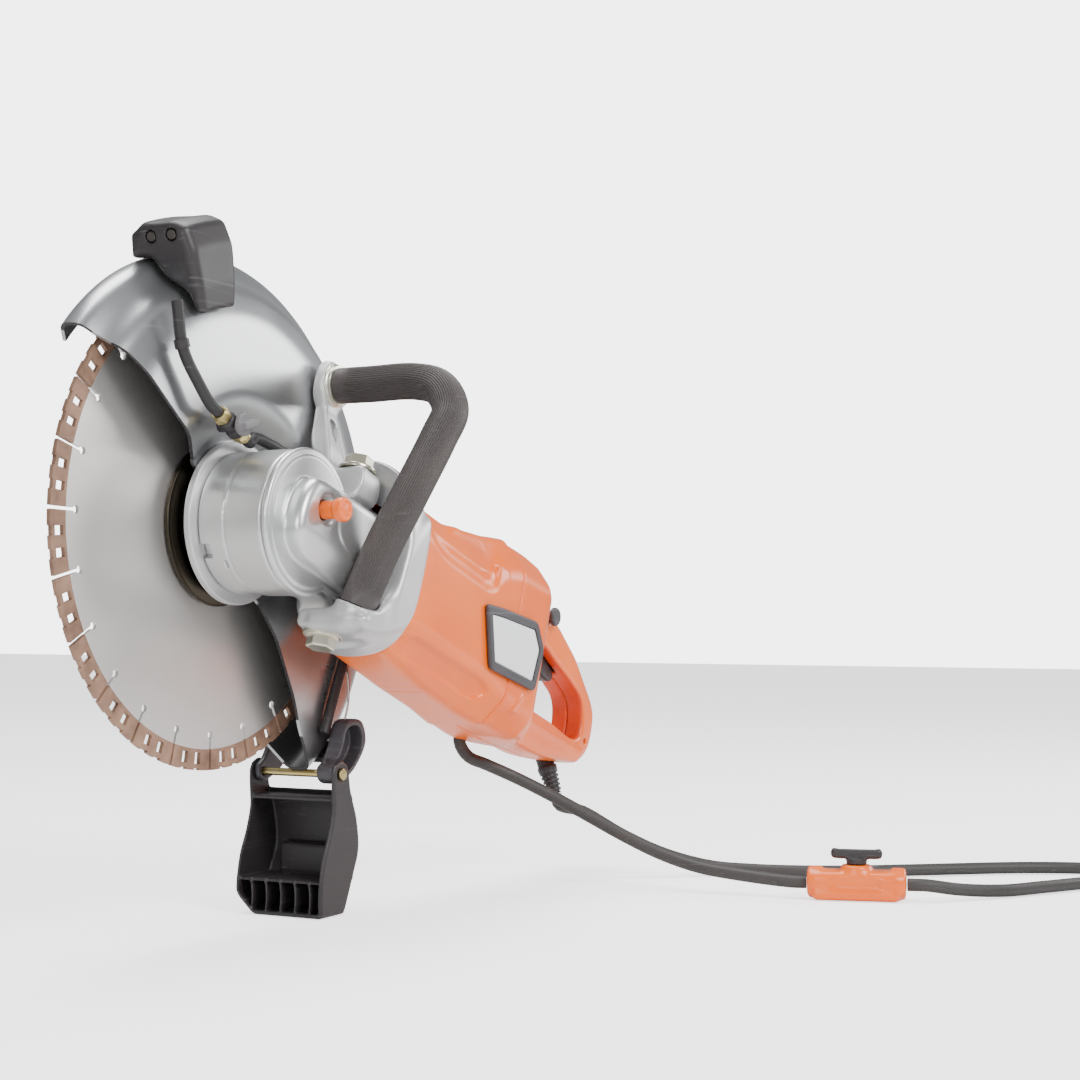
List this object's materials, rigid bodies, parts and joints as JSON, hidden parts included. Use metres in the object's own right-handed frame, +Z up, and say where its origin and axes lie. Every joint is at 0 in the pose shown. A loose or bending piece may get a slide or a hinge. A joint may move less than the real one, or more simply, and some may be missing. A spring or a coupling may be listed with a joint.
{
  "type": "concrete cut-off saw",
  "caption": "Electric concrete cut-off saw: segmented diamond blade under a swinging guard, gear head, D-grip rear handle, tube front handle, wet-cutting hose and cord.",
  "frame": {"origin": "on the floor under the middle of the saw as it stands nose-up on its spray flap, cord and hose left out", "axes": "+X towards the front of the blade, +Y towards the gear cap (operator's left), +Z up"},
  "size_m": [0.909, 0.7038, 0.4993],
  "materials": {
    "orange_plastic": "satin moulded",
    "cast_silver": "satin cast",
    "blade_steel": "brushed",
    "dark_steel": "blackened",
    "black_plastic": "matte moulded",
    "grey_plastic": "matte moulded",
    "handle_rubber": "ribbed matte",
    "brass": "machined",
    "copper": "lacquered copper",
    "badge_face": "plain light plate",
    "zinc_plate": "zinc plated"
  },
  "bodies": {
    "machine": {"motor_housing": "orange_plastic", "rear_handle_left": "orange_plastic", "rear_handle_right": "orange_plastic", "valve_block": "orange_plastic", "gear_housing": "cast_silver", "gear_neck_collar": "cast_silver", "gear_cap": "cast_silver", "handle_flange": "cast_silver", "upper_bracket_arm": "cast_silver", "rear_bearing_plate": "cast_silver", "motor_bearing_front": "blade_steel", "motor_bearing_rear": "blade_steel", "spindle_bearing_front": "blade_steel", "spindle_bearing_rear": "blade_steel", "trigger_pin": "blade_steel", "stator_core": "dark_steel", "carbon_brush_upper": "dark_steel", "carbon_brush_lower": "dark_steel", "strain_relief": "black_plastic", "power_plug": "black_plastic", "switch_module": "black_plastic", "badge_frame": "grey_plastic", "front_handle": "handle_rubber", "power_cord": "handle_rubber", "cord_coil": "handle_rubber", "water_hose": "handle_rubber", "water_hose_end": "handle_rubber", "hose_connector": "brass", "field_winding": "copper", "badge_plate": "badge_face", "handle_collar": "zinc_plate", "upper_bolt": "zinc_plate", "lower_bolt": "zinc_plate"},
    "spindle": {"blade": "blade_steel", "inner_flange": "dark_steel", "outer_flange": "dark_steel", "spindle_shaft": "blade_steel", "arbor_bolt": "zinc_plate", "crown_wheel": "blade_steel"},
    "rotor": {"armature_shaft": "blade_steel", "pinion_gear": "blade_steel", "armature_core": "dark_steel", "commutator": "copper", "cooling_fan": "black_plastic"},
    "guard": {"guard_shell": "cast_silver", "guard_handle": "black_plastic", "upper_hose": "black_plastic", "inner_hose": "black_plastic", "lower_hose": "black_plastic", "brass_nut_1": "brass", "brass_nut_2": "brass", "tap_body": "black_plastic", "spray_bracket": "black_plastic", "flap_pin": "brass"},
    "tap_knob": {"tap_knob": "grey_plastic"},
    "spray_flap": {"spray_flap": "black_plastic"},
    "spindle_lock": {"spindle_lock_button": "orange_plastic"},
    "trigger": {"trigger": "black_plastic"},
    "lock_off": {"lock_off_button": "grey_plastic"},
    "valve_lever": {"valve_lever": "black_plastic"}
  },
  "joints": [
    {"name": "blade_spin", "type": "hinge", "parent": "machine", "child": "spindle", "pos_m": [0.1349, -0.0618, 0.288], "axis": [0, 1, 0], "continuous": true},
    {"name": "motor_spin", "type": "hinge", "parent": "machine", "child": "rotor", "pos_m": [0.04093, 0.0122, 0.2538], "axis": [0.9397, 0, 0.342], "continuous": true},
    {"name": "guard_swing", "type": "hinge", "parent": "machine", "child": "guard", "pos_m": [0.1349, -0.0618, 0.288], "axis": [0, 1, 0], "range_deg": [-35, 0]},
    {"name": "flap_tilt", "type": "hinge", "parent": "guard", "child": "spray_flap", "pos_m": [0.03498, -0.0618, 0.10397], "axis": [0, 1, 0], "range_deg": [-10, 35]},
    {"name": "tap_turn", "type": "hinge", "parent": "guard", "child": "tap_knob", "pos_m": [0.17042, -0.0208, 0.35414], "axis": [0, 1, 0], "range_deg": [0, 90]},
    {"name": "spindle_lock_press", "type": "slide", "parent": "machine", "child": "spindle_lock", "axis": [0, -1, 0], "range_m": [0, 0.006], "stiffness_N_per_m": 800},
    {"name": "trigger_pull", "type": "hinge", "parent": "machine", "child": "trigger", "pos_m": [-0.20921, 0.0122, 0.20426], "axis": [0, 1, 0], "range_deg": [0, 8], "stiffness_Nm_per_rad": 1.5},
    {"name": "lock_off_press", "type": "slide", "parent": "machine", "child": "lock_off", "axis": [0, -1, 0], "range_m": [0, 0.003], "stiffness_N_per_m": 600},
    {"name": "valve_turn", "type": "hinge", "parent": "machine", "child": "valve_lever", "pos_m": [-0.2161, 0.2992, 0.023], "axis": [0, 0, 1], "range_deg": [0, 90]}
  ],
  "couplings": [
    {"joint": "motor_spin", "follows": "blade_spin", "ratio": -4.1111}
  ]
}
